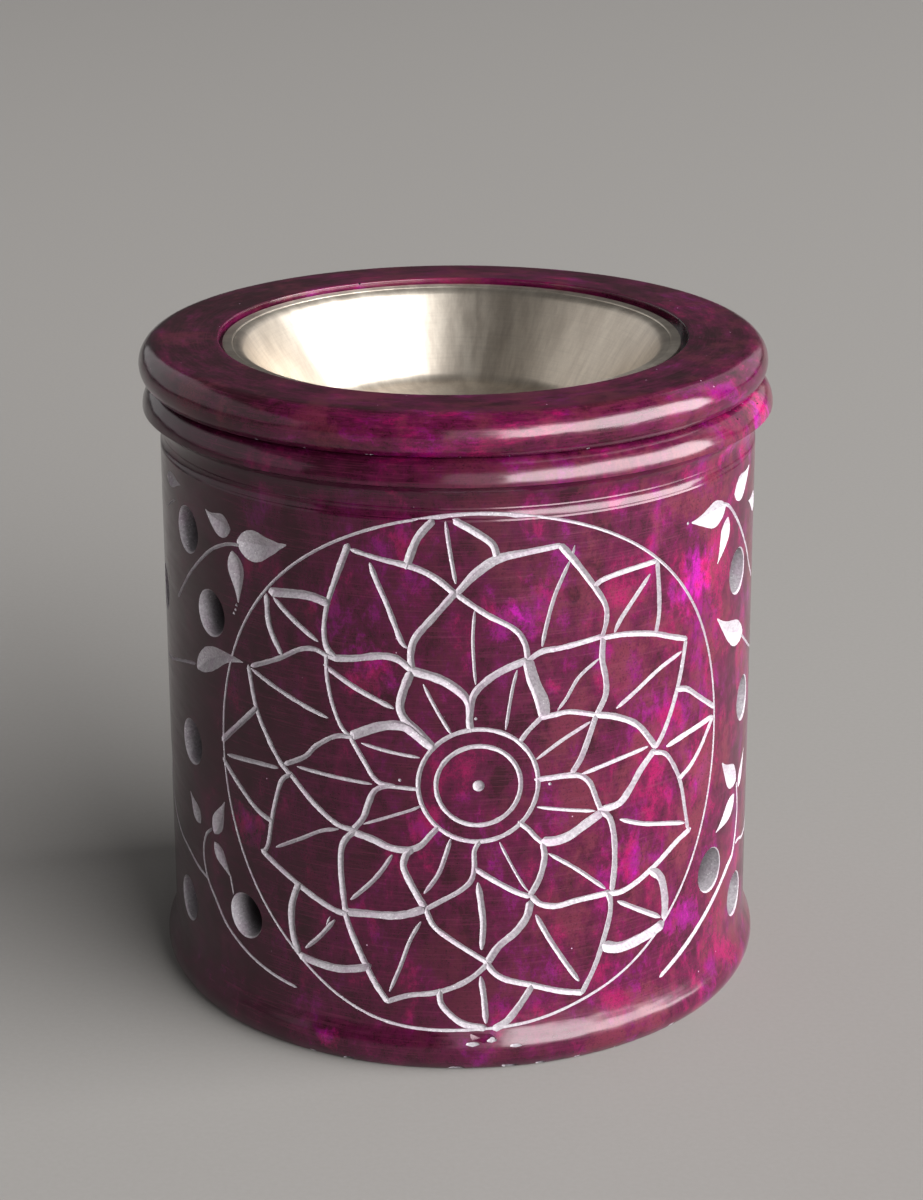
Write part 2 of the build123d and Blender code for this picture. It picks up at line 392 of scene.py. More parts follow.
def raw_stone(name, light="aea8ad", dark="867f85", dye=0.12):
    """Freshly cut soapstone: pale, matt and grainy, with a breath of dye, small painted glints, and painted
    shade that darkens it deeper into the wall towards the bore.
    """
    stone = Nodes(name)
    grain = stone.noise(3.0, detail=5, roughness=0.75)
    cloud = stone.noise(0.4, detail=3)
    colour = stone.mix(stone.ramp(grain, 0.3, 0.7), dark, light)
    colour = stone.mix(stone.ramp(cloud, 0.45, 0.75, 0.0, dye * 2), colour, "8d5a80")
    # Painted glints: near-white flecks in the colour, where the stone is also glossier.
    away, chance = stone.cells(5.0)
    painted_glint = stone.math("MULTIPLY", stone.ramp(away, 0.2, 0.35, 1.0, 0.0), stone.ramp(chance, 0.8, 0.82))
    colour = stone.mix(stone.fitted(painted_glint, 0.6), colour, "f6f3f4")
    # Painted shade: the stone darkens deeper into the wall and all through the bore, where shade falls in
    # holes.
    painted_depth_shade = stone.ramp(stone.from_axis(), wall_radius - 3.6, wall_radius - 0.3, 0.95, 0.0)
    colour = stone.mix(painted_depth_shade, colour, "241a1f")
    normal = stone.bump(grain, 0.02)
    return stone.surface(colour, stone.ramp(painted_glint, 0.0, 1.0, 0.72, 0.35), normal)


def spun_steel(name, centre):
    """Satin stainless steel: fine rings of spinning, which draw each reflection out across them."""
    steel = Nodes(name)
    radius = steel.from_axis(centre)
    angle, height = steel.around(centre)
    rings_place = steel.combine(radius, height, steel.fitted(angle, 0.8))
    rings = steel.noise(4.0, detail=4, roughness=0.7, at=rings_place)
    streaks_place = steel.combine(steel.fitted(radius, 0.02), angle)
    streaks = steel.noise(9.0, detail=8, roughness=0.74, at=streaks_place)
    colour = steel.mix(steel.ramp(streaks, 0.3, 0.7), "cdc1b3", "eae0d2")
    colour = steel.mix(steel.ramp(rings, 0.4, 0.8, 0.0, 0.16), colour, "9a9389")
    gloss = steel.fitted(streaks, 0.22, 0.3)
    return steel.surface(colour, gloss, metallic=1.0, **steel.turning(0.6))


def thin_aluminium(name):
    """Bright pressed aluminium, drawn upwards."""
    metal = Nodes(name)
    angle, height = metal.around()
    drawn = metal.combine(angle, metal.fitted(height, 0.02))
    lines = metal.noise(40.0, detail=4, roughness=0.7, at=drawn)
    dents = metal.noise(0.25, detail=2)
    colour = metal.mix(lines, "cfd0d0", "e4e4e3")
    normal = metal.bump(dents, 0.25)
    normal = metal.bump(lines, 0.01, normal)
    return metal.surface(colour, metal.fitted(lines, 0.18, 0.2), normal, metallic=1.0)


def paraffin(name):
    """White wax that lets a little light through."""
    wax = Nodes(name)
    cloud = wax.noise(0.3, detail=3)
    pores = wax.noise(4.0, detail=3)
    colour = wax.mix(cloud, "efece2", "f6f3ea")
    normal = wax.bump(pores, 0.02, wax.bump(cloud, 0.15))
    return wax.surface(colour, 0.42, normal, ior=1.44, subsurface_weight=0.35, subsurface_scale=0.003)


def tin_plate(name):
    """Tin plated steel, stamped."""
    tin = Nodes(name)
    stain = tin.noise(1.2, detail=4)
    colour = tin.mix(stain, "a9aaa8", "c6c6c3")
    return tin.surface(colour, tin.fitted(stain, 0.2, 0.25), tin.bump(stain, 0.02), metallic=1.0)


def waxed_cotton(name):
    """Braided cotton stiffened with wax."""
    cotton = Nodes(name)
    fibres = cotton.noise(6.0, detail=3, at=cotton.scaled(2.0, 2.0, 0.6))
    colour = cotton.mix(fibres, "cfc6ae", "f1ebdb")
    normal = cotton.bump(fibres, 0.05)
    return cotton.surface(colour, 0.6, normal, subsurface_weight=0.1, subsurface_scale=0.001)


# Turned and pressed shapes

def heading(start, end):
    """The unit vector from one point of a plane to another."""
    return Vector((end[0] - start[0], end[1] - start[1])).normalized()


def tangent_arc(start, end, tangent):
    """Points after start of the arc that leaves it along tangent and ends at end."""
    across, rise = end[0] - start[0], end[1] - start[1]
    half_turn = atan2(tangent[0] * rise - tangent[1] * across, tangent[0] * across + tangent[1] * rise)
    bearing = atan2(tangent[1], tangent[0])
    steps = ceil(abs(2 * half_turn) / profile_step)
    points = []
    for step in range(1, steps + 1):
        part = half_turn * step / steps
        length = hypot(across, rise) * sin(part) / sin(half_turn)
        points.append((start[0] + length * cos(bearing + part), start[1] + length * sin(bearing + part)))
    return points


def outside_profile():
    """Outside of the pot from the flat of the base up to the seat, as (radius, height)."""
    base = (foot_radius - foot_base_setback, 0)
    slope_foot = (foot_radius, foot_slope_foot_height)
    slope_top = (foot_radius - foot_slope_setback, foot_hollow_foot_height)
    slope_drop = (slope_foot[0] - slope_top[0], slope_foot[1] - slope_top[1])
    roll = tangent_arc(slope_foot, base, slope_drop)[::-1]
    roll = [point for point in roll if point[1] > foot_edge_round * 0.7]
    flat_edge = (base[0] - foot_edge_round, 0)
    quirk_foot = (wall_top_radius - quirk_foot_wear, quirk_foot_z)
    quirk_top = (wall_top_radius - quirk_depth, flange_foot_z)
    cove_top = (quirk_top[0] + cove_bead / 2, flange_foot_z + 4 * cove_bead)
    groove_root_z = turned_groove_foot_z + turned_groove_width * 0.75
    widest = (flange_radius, flange_widest_z)
    return [
        flat_edge,
        *tangent_arc(flat_edge, roll[0], (1, 0)),
        *roll[1:],
        slope_foot,
        slope_top,
        *tangent_arc((wall_foot_radius, foot_hollow_top_height), slope_top, (0, -1))[-2::-1],
        (wall_foot_radius, foot_hollow_top_height),
        (wall_top_radius, turned_groove_foot_z),
        (wall_top_radius - groove_lip_bevel * 0.4, turned_groove_foot_z + groove_lip_bevel),
        (wall_top_radius - turned_groove_depth, groove_root_z),
        quirk_foot,
        *tangent_arc(quirk_top, quirk_foot, (0, -1))[-2::-1],
        quirk_top,
        (quirk_top[0] + cove_bead, flange_foot_z + cove_bead),
        (quirk_top[0] + cove_bead, flange_foot_z + 2 * cove_bead),
        cove_top,
        *tangent_arc(cove_top, widest, (0, 1)),
        *tangent_arc(widest, (flange_radius - flange_shoulder_round, pot_height), (0, 1)),
    ]


outside = outside_profile()
carved_outside = [point for point in outside if not turned_groove_foot_z < point[1] < quirk_foot_z]


def outside_radius(height):
    """Radius of the pot's outside at a height, without the turned groove."""
    for (low_radius, low), (high_radius, high) in zip(carved_outside, carved_outside[1:]):
        if low <= height <= high and high > low:
            return low_radius + (high_radius - low_radius) * (height - low) / (high - low)
    return carved_outside[0][0] if height < 0 else carved_outside[-1][0]


def spaced(points, step):
    """The points of a run, with more between them so that none are further apart than step."""
    result = [points[0]]
    for start, end in zip(points, points[1:]):
        across, rise = end[0] - start[0], end[1] - start[1]
        count = max(1, ceil(hypot(across, rise) / step))
        for i in range(1, count + 1):
            result.append((start[0] + across * i / count, start[1] + rise * i / count))
    return result


def rounded_path(points, bends):
    """A run of points with each inner corner replaced by an arc of its bend's radius."""
    result = [points[0]]
    for before, corner, after, bend in zip(points, points[1:], points[2:], bends):
        back = heading(corner, before)
        ahead = heading(corner, after)
        reach = bend / tan(back.angle(ahead) / 2)
        start = Vector(corner) + back * reach
        end = Vector(corner) + ahead * reach
        result.append(tuple(start))
        result += tangent_arc(tuple(start), tuple(end), tuple(-back))
    result.append(points[-1])
    return result


def sheet_around(path, sheet):
    """Outline of a pressed sheet that follows a path from the axis outwards, with a rounded rim."""
    left, right = [], []
    for i, point in enumerate(path):
        run = heading(path[max(i - 1, 0)], path[min(i + 1, len(path) - 1)])
        aside = Vector((-run.y, run.x)) * sheet / 2
        if i == 0:
            aside = Vector((0, sheet / 2))
        left.append((point[0] + aside.x, point[1] + aside.y))
        right.append((point[0] - aside.x, point[1] - aside.y))
    return right + left[::-1]


def turned(name, outline, materials, centre=(0, 0), segments=360, closed=False, sharp=None):
    """A mesh turned about an upright axis from an outline of (radius, height)."""
    def place(radius, height, turn):
        return Vector((centre[0] + radius * sin(turn), centre[1] - radius * cos(turn), height))

    bm = bmesh.new()
    rows = rows_round(bm, outline, segments, place)
    skin(bm, rows + rows[:1] if closed else rows)
    return finished(bm, name, materials, sharp=sharp)


def rows_round(bm, outline, segments, place):
    """A row of corners for each (radius, distance along the axis) of an outline."""
    rows = []
    for radius, far in outline:
        turns = [2 * pi * i / segments for i in range(segments if radius > axis_reach else 1)]
        rows.append([bm.verts.new(place(radius, far, turn) * MM) for turn in turns])
    return rows


def skin(bm, rows, capped=False):
    """Faces between each row of corners and the next. A row of one corner is a tip."""
    for lower, upper in zip(rows, rows[1:]):
        for i in range(max(len(lower), len(upper))):
            corners = [lower[i % len(lower)], lower[(i + 1) % len(lower)]]
            corners += [upper[(i + 1) % len(upper)], upper[i % len(upper)]]
            bm.faces.new(list(dict.fromkeys(corners))).smooth = True
    if capped:
        for row in (rows[0], rows[-1]):
            bm.faces.new(row)


def finished(bm, name, materials, material=0, sharp=None):
    """The object of a closed mesh, its faces turned outwards and its edges sharp above an angle."""
    bmesh.ops.recalc_face_normals(bm, faces=bm.faces)
    for face in bm.faces:
        face.material_index = material
    mesh = bpy.data.meshes.new(name)
    bm.to_mesh(mesh)
    bm.free()
    for slot_material in materials:
        mesh.materials.append(slot_material)
    if sharp:
        mesh.set_sharp_from_angle(angle=radians(sharp))
    thing = bpy.data.objects.new(name, mesh)
    bpy.context.scene.collection.objects.link(thing)
    return thing


# Carving

Cut = namedtuple("Cut", "points widths lean steep taper overlap closed")

# A line's soft edge makes it look wider than the cut is
cut_share = 0.83

# Depth of a V groove as a share of half its width
groove_steep = 1.05


def groove(width, *points, lean=0.0, taper=0.35, overlap=0.3):
    """A V groove through points of (round, up). Its width may change from point to point."""
    widths = [width] * len(points) if isinstance(width, (int, float)) else width
    return Cut(points, [each * cut_share for each in widths], lean, groove_steep, taper, overlap, False)


def rib(width, *points):
    """A single stroke that stands free, pointed at both ends."""
    return groove(width * 1.1, *points, taper=0.9, overlap=0.0)


def loop(width, across, up, centre, *slips):
    """A V groove round an ellipse. A slip of the hand has a clock angle, a reach and a way out."""
    steps = 72
    points = []
    for i in range(steps):
        angle = 2 * pi * i / steps
        off = sum(far * exp(-((degrees(angle) - at) / reach) ** 2) for at, reach, far in slips)
        points.append((centre[0] + (across + off) * sin(angle), centre[1] + (up + off) * cos(angle)))
    return Cut(points, [width * cut_share] * steps, 0.0, groove_steep, 0.0, 0.0, True)


def leaf(base, tip, width, bend=0.0, steep=0.45):
    """A scooped leaf: round at its base, pointed at its tip, bent aside by a share of its length."""
    base, tip = Vector(base), Vector(tip)
    along = tip - base
    aside = Vector((-along.y, along.x)) * bend
    shape = [(0.0, 0.12), (0.1, 0.62), (0.28, 0.97), (0.45, 0.92), (0.65, 0.58), (0.85, 0.24), (1.0, 0.05)]
    points = [tuple(base + along * part + aside * 4 * part * (1 - part)) for part, _ in shape]
    return Cut(points, [width * share for _, share in shape], 0.0, steep, 0.0, 0.0, False)


def smooth_run(values, closed, step):
    """Catmull-Rom run through rows of numbers whose first two are a place, sampled every step."""
    count = len(values)
    result = []
    for i in range(count if closed else count - 1):
        nearby = [k % count if closed else min(max(k, 0), count - 1) for k in range(i - 1, i + 3)]
        a, b, c, d = (values[k] for k in nearby)
        pieces = max(2, ceil(hypot(c[0] - b[0], c[1] - b[1]) / step))
        for piece in range(pieces):
            t = piece / pieces
            row = []
            for p, q, r, s in zip(a, b, c, d):
                cubic = 2 * q + (r - p) * t + (2 * p - 5 * q + 4 * r - s) * t ** 2
                row.append((cubic + (3 * q - p - 3 * r + s) * t ** 3) / 2)
            result.append(row)
    if not closed:
        result.append(list(values[-1]))
    return result


def drawn_out(last, inner, length):
    """A row that carries a run on past its last one."""
    run = heading(inner, last) * length
    return [last[0] + run.x, last[1] + run.y, last[2]]


# The shake of a hand in a stroke's width: waves a millimetre, the distance between the strokes'
# slices of the noise, where the first slice is, and the share of the width
hand_waves = [(0.9, 7.1, 0, 0.14), (2.6, 3.7, 50, 0.07)]
widest_shaken = 0.8


def cutter(cut, number, materials):
    """The solid that cuts one groove or leaf: an upright wedge that follows its line round the pot."""
    clear = 0.4
    step = 0.35
    tip = 0.3
    rows = smooth_run([(*point, width) for point, width in zip(cut.points, cut.widths)], cut.closed, step)
    if cut.overlap:
        rows = [drawn_out(rows[0], rows[1], cut.overlap), *rows, drawn_out(rows[-1], rows[-2], cut.overlap)]
    lengths = [0.0]
    for before, after in zip(rows, rows[1:]):
        lengths.append(lengths[-1] + hypot(after[0] - before[0], after[1] - before[1]))
    bm = bmesh.new()
    stations = []
    for i, (along, up, width) in enumerate(rows):
        before = rows[i - 1] if i or cut.closed else rows[0]
        after = rows[(i + 1) % len(rows)] if cut.closed else rows[min(i + 1, len(rows) - 1)]
        run = heading(before, after)
        aside = Vector((-run.y, run.x))
        end = min(lengths[i], lengths[-1] - lengths[i])
        if cut.taper and end < cut.taper:
            width *= (0.15 + 0.85 * end / cut.taper) ** 0.6
        shake = 0.0
        for wave, apart, start, share in hand_waves:
            shake += share * noise.noise(Vector((along * wave, up * wave, number * apart + start)))
        width += min(width, widest_shaken) * shake
        half = width / 2
        depth = half * cut.steep
        spread = half + clear / cut.steep
        apex = Vector((along, up)) + aside * half * cut.lean
        left = Vector((along, up)) + aside * spread
        right = Vector((along, up)) - aside * spread
        deep = outside_radius(up) - outside_radius(apex.y) - depth
        places = [on_wall(apex.x, apex.y, deep)]
        for place in (left, right):
            proud = outside_radius(up) - outside_radius(place.y) + clear
            places.append(on_wall(place.x, place.y, proud))
        stations.append([bm.verts.new(place * MM) for place in places])
    if cut.closed:
        stations.append(stations[0])
    else:
        ends = [drawn_out(rows[0], rows[1], tip), drawn_out(rows[-1], rows[-2], tip)]
        first, last = [[bm.verts.new(on_wall(*end[:2], clear) * MM)] for end in ends]
        stations = [first, *stations, last]
    skin(bm, stations)
    return finished(bm, f"cutter_{number}", materials, 1)


def drilled(name, along, up, outline, materials, segments=48):
    """A cutter turned about a line square to the wall, from an outline of (radius, depth)."""
    angle = along / carving_radius
    outward = Vector((sin(angle), -cos(angle), 0))
    sideways = Vector((cos(angle), sin(angle), 0))
    wall = outside_radius(up)

    def place(radius, depth, turn):
        height = Vector((0, 0, up + radius * sin(turn)))
        return outward * (wall - depth) + sideways * radius * cos(turn) + height

    bm = bmesh.new()
    skin(bm, rows_round(bm, outline, segments, place))
    return finished(bm, name, materials, 1)


def vent(number, azimuth, share, materials):
    """One air hole, from the bore out through the wall, with a slightly worn edge."""
    up = foot_height + share * (turned_groove_foot_z - foot_height)
    past_wall = 1.0
    inner_end = pot_wall + 2.5
    outline = [
        (0, inner_end),
        (vent_radius, inner_end),
        (vent_radius, vent_edge_wear),
        (vent_radius + vent_edge_wear + past_wall, -past_wall),
        (0, -past_wall),
    ]
    return drilled(f"vent_{number}", radians(azimuth) * carving_radius, up, outline, materials)


def dot(number, along, up, radius, materials):
    """A small drilled dimple."""
    past_wall = 0.3
    mouth = (radius + 0.1, -past_wall)
    outline = [(0, radius * 0.7), (radius * 0.6, radius * 0.55), mouth, (0, -past_wall)]
    return drilled(f"dot_{number}", along, up, outline, materials, segments=20)


def arch_cutter(materials):
    """The rear arch, with its outer edge eased."""
    spring = pot_floor + arch_side_height
    half = [(arch_radius, pot_floor), (arch_radius, spring)]
    steps = 40
    for i in range(1, steps):
        angle = pi * i / steps
        half.append((arch_radius * cos(angle), spring + arch_radius * sin(angle)))
    outline = half + [(-arch_radius, spring), (-arch_radius, pot_floor)]
    outline = spaced(outline + outline[:1], 2.0)[:-1]
    past_wall = 1.5
    eased = past_wall + arch_edge_wear
    inner_end = bore_radius * 0.25
    outer_end = foot_radius + 3.0
    stages = ((wall_radius - inner_end, 0.0), (arch_edge_wear, 0.0), (-past_wall, eased), (None, eased))
    bm = bmesh.new()
    rows = []
    for depth, wider in stages:
        row = []
        for i, (x, z) in enumerate(outline):
            run = heading(outline[i - 1], outline[(i + 1) % len(outline)])
            aside = Vector((run.y, -run.x)) * (0.0 if z <= pot_floor else wider)
            surface = sqrt(wall_radius ** 2 - x ** 2)
            y = outer_end if depth is None else max(surface - depth, inner_end)
            row.append(bm.verts.new(Vector((x + aside.x, y, z + aside.y)) * MM))
        rows.append(row)
    skin(bm, rows, capped=True)
    return finished(bm, "arch", materials)


def chip(name, place, size, seed, materials, material=1):
    """A small angular lump that knocks a flake off an edge, and the material that it bares."""
    chance = random.Random(seed)
    bm = bmesh.new()
    bmesh.ops.create_icosphere(bm, subdivisions=1, radius=1.0)
    for vert in bm.verts:
        vert.co *= 0.75 + 0.5 * chance.random()
        vert.co = (Vector(place) + vert.co * Vector(size)) * MM
    return finished(bm, name, materials, material)


def cut_away(thing, cutters):
    """Takes the cutters out of a closed mesh, and deletes them."""
    group = bpy.data.collections.new("cutters")
    for piece in cutters:
        group.objects.link(piece)
    modifier = thing.modifiers.new("carving", "BOOLEAN")
    modifier.operation = "DIFFERENCE"
    modifier.operand_type = "COLLECTION"
    modifier.collection = group
    modifier.solver = "MANIFOLD"
    graph = bpy.context.evaluated_depsgraph_get()
    carved = bpy.data.meshes.new_from_object(thing.evaluated_get(graph))
    thing.modifiers.clear()
    thing.data = carved
    for piece in cutters:
        bpy.data.objects.remove(piece)
    bpy.data.collections.remove(group)
    carved.polygons.foreach_set("use_smooth", [True] * len(carved.polygons))
    carved.set_sharp_from_angle(angle=radians(13))


# The flower on the front: eight petals in each of four rounds, cut freehand. Points are
# millimetres round from the front and millimetres up, read off the photograph.

flower_outer = [
    groove(1.1, (-2.9, 67.6), (-4.6, 65.5), (-5.8, 62.3)),
    groove(1.0, (-0.3, 67.7), (2, 66.3), (3.8, 64.9), (4.3, 63.4)),
    rib(0.5, (-1.4, 67.6), (-0.9, 64), (-0.3, 60.4)),
    groove(1.3, (-22.8, 57.1), (-18, 57.6), (-15.2, 57.1)),
    groove(0.9, (-23.5, 56.4), (-23.2, 53), (-21.6, 50)),
    rib(0.7, (-22.5, 56.5), (-19.5, 54.2), (-16.5, 52.3)),
    groove(0.9, (-31.7, 36.6), (-28.5, 39.5), (-25.7, 42.1)),
    groove(0.8, (-31.6, 34), (-29, 31.8), (-26, 29.5), (-23.7, 28.6)),
    rib(0.6, (-30.9, 34.9), (-26, 35.4), (-22.4, 35.6)),
    groove(0.75, (24.2, 60.3), (20, 60), (17, 59.5), (15.9, 58.9)),
    groove(0.75, (24.5, 60), (24.8, 57), (24.9, 54), (24.5, 51.7)),
    rib(0.6, (23.4, 58.9), (21, 56.3), (19.3, 54.3), (18.5, 52.9)),
    groove(0.8, (28.2, 43.7), (30, 43.2), (32, 41.8), (34, 40.4), (35.8, 39.2)),
    groove(0.8, (29, 32.3), (31, 33.3), (33, 35), (34.3, 36.5), (35.5, 37.8)),
    rib(0.8, (26.5, 37), (30, 37.6), (35.5, 38.1)),
    groove(1.1, (-20.1, 12.7), (-20.8, 15), (-20.9, 18), (-20.3, 20.3), (-19.8, 21.4)),
    groove(1.2, (-19.7, 12.2), (-17, 11.8), (-14.5, 11.7), (-12, 12.2), (-10.8, 12.7)),
    rib(0.6, (-19, 13.4), (-17, 15.4), (-15, 17.9)),
    rib(0.4, (-16.1, 17.1), (-15.6, 18.2)),
    groove(0.9, (-2.4, 10.1), (-2.2, 8.5), (-1, 7), (0.5, 6), (2.8, 5.5)),
    groove(1.0, (8.4, 10.2), (7, 8), (5.5, 6.2), (4, 5.4)),
    rib(0.8, (2.4, 12), (2.8, 9), (3, 6)),
    groove(1.3, (24.5, 21.7), (26, 20.3), (26.7, 17.5), (26.7, 15)),
    groove(1.7, (26.3, 14.2), (24, 13.6), (20, 13.1), (17.7, 13.8)),
    rib(0.7, (19.4, 19.2), (22.5, 17.3), (26, 15.2)),
]

flower_third = [
    groove((1.0, 0.9, 0.7, 0.7, 0.9, 0.9),
           (-12.6, 64.1), (-13.8, 61), (-15.2, 57), (-15.7, 54), (-15.4, 51.8), (-14.2, 50.5)),
    groove((0.6, 0.7, 0.9, 0.9, 0.9), (-12, 63.7), (-9, 63), (-5, 62.2), (-2.5, 61), (-0.5, 59.3)),
    rib(0.7, (-10, 62.4), (-9.3, 60.5), (-8, 57.5), (-6.5, 53.5), (-5.8, 52.7)),
    groove(0.7, (-26, 47.4), (-22, 49.2), (-19, 50.9), (-17, 51.3), (-15.5, 50.8), (-14.2, 50.5)),
    groove(0.8, (-26.6, 47), (-25.6, 42.5), (-24, 39.3), (-22.2, 36.6), (-20.7, 35.2)),
    rib(0.6, (-26.2, 47), (-22, 45.4), (-18, 44), (-15.4, 43.2)),
    groove((0.8, 0.9, 1.3, 1.3, 1.0, 0.8),
           (11.5, 64.2), (8, 63.8), (4.5, 63.2), (2, 61.6), (0.3, 59.8), (-0.2, 59.2)),
    groove((1.0, 1.0, 0.9, 0.8, 0.7, 0.7),
           (11.7, 64.1), (13.3, 62.2), (15.5, 59.2), (17.2, 56.5), (17.4, 54.5), (16.8, 52.5)),
    rib(0.5, (12.7, 62.2), (11, 58.5), (10, 55), (9.5, 52.5)),
    rib(0.4, (13.3, 64), (13, 62.6)),
    groove(0.8, (29.5, 49.6), (27, 50.5), (24, 51.6), (20, 52.4), (17, 52.5)),
    groove(0.8, (29.5, 49.2), (28.7, 45.5), (27.5, 42), (26, 39), (24.8, 37.5)),
    rib(0.6, (28.8, 48.2), (25, 47), (21, 44.8), (18.9, 43.6)),
    groove(0.7, (-24.9, 24.3), (-24.2, 25.5), (-23.6, 28.5), (-23, 31), (-22, 34), (-20.8, 35.1)),
    groove(0.9, (-25.1, 24.3), (-22, 22.6), (-18, 20.5), (-15, 19.2), (-13.5, 19)),
    rib(0.5, (-23, 25.4), (-19, 27.6), (-16.5, 29), (-14.3, 29.6)),
    groove(0.9, (-8.6, 8.4), (-10, 10.5), (-11.5, 13.5), (-13, 17), (-13.6, 19)),
    groove(0.8, (-8.5, 8.4), (-6, 9.4), (-3, 9.9), (-0.5, 10.8), (1.5, 12), (3.2, 13.6)),
    rib(0.5, (-8.3, 9.7), (-7, 13), (-5.8, 16.5), (-4.5, 19)),
    groove(0.9, (14.7, 8.4), (12, 9.1), (8.5, 10.4), (5.5, 11.4), (4, 12.4), (3, 13.9)),
    groove(0.8, (14.8, 8.5), (16.3, 11.3), (17.3, 14), (18.3, 17.5), (18.4, 19.5), (18, 20.7)),
    rib(0.7, (8.9, 19.4), (10.5, 16.2), (12.5, 12.8), (14.3, 10)),
    groove(0.7, (24.6, 36.8), (26.5, 36), (28.3, 33.4), (29.3, 31), (30, 28), (30.6, 25.5)),
    groove(0.9, (31, 25), (28.5, 24.2), (25, 22.3), (22, 20.9), (19.8, 20.3), (18.4, 20.5)),
    rib(0.6, (30, 26.2), (27, 27.1), (23, 28.2), (19.6, 29.6)),
]

flower_second = [
    groove(1.0, (-0.4, 59.3), (-2.5, 56.8), (-4.8, 54), (-5.4, 52), (-5.3, 50.2)),
    groove(0.8, (0, 59), (3, 56.8), (6.3, 54.8), (7.5, 53), (7.8, 51.2)),
    rib(0.4, (1.8, 57.2), (1.6, 54), (1.7, 51), (1.9, 48.4)),
    groove(1.0, (-14.5, 50.6), (-12, 50.9), (-9, 51.5), (-7, 51.3), (-5.4, 50.1)),
    groove(0.6, (-15.5, 50.8), (-15.4, 48), (-14.8, 45), (-13.8, 42.5), (-12.8, 41.4)),
    rib(0.7, (-15.8, 49.6), (-12, 47.4), (-7.4, 45.3)),
    groove(0.7, (-21.2, 36.4), (-18.5, 37.9), (-17, 39.5), (-14.5, 41.1), (-12.5, 41.3)),
    groove(0.8, (-20.6, 35.3), (-17.5, 32.3), (-14.5, 30.2), (-12.5, 29.8)),
    rib(0.5, (-19.6, 36.4), (-15, 36.1), (-10.1, 35.8)),
    groove(0.8, (16.6, 52.7), (12, 52.1), (9.5, 51.9), (7.8, 50.9)),
    groove(0.9, (17, 52.3), (16.9, 50), (17.4, 47.5), (17.4, 45.5), (16.3, 43.4)),
    rib(0.45, (16.5, 50.1), (14, 48.3), (12.5, 46), (11.4, 44.6)),
    groove(0.9, (24.6, 37.6), (22, 40.8), (19, 42.5), (16.3, 43.3)),
    groove(1.1, (24.4, 37), (22.5, 35.2), (21, 33.2), (19.5, 31.7), (17.5, 31.4), (17, 31.3)),
    rib(0.55, (23.5, 37.8), (19, 37.2), (14.4, 36.3)),
    groove(0.9, (-13.6, 19.3), (-13.9, 22), (-14.1, 25), (-13.9, 27.5), (-13, 29), (-12, 29.6)),
    groove(1.2, (-13.5, 19.2), (-11, 19.4), (-8, 19.5), (-6, 19.9), (-4.2, 20.6)),
    rib(0.6, (-12.9, 20.9), (-10.5, 23.3), (-9, 25.2), (-7.8, 27.2)),
    groove(0.8, (-3.9, 20.6), (-3, 18.5), (-1, 16.8), (1.5, 15), (3.2, 13.8)),
    groove(1.1, (3.2, 13.8), (4.5, 15.8), (6.5, 17.5), (7.8, 19.3), (8.2, 21)),
    rib(0.8, (2.1, 24), (2.5, 21), (2.7, 18.5), (2.5, 15.5)),
    groove(0.9, (18, 20.6), (14, 20.5), (11.5, 20.2), (9.5, 20.7), (8.5, 21.7)),
    groove(0.9, (18.6, 21), (18.9, 24), (18.8, 27.5), (18.2, 30), (17.2, 31)),
    rib(0.55, (10.4, 27), (13.5, 24.8), (16, 22.7), (17.7, 21.2)),
]

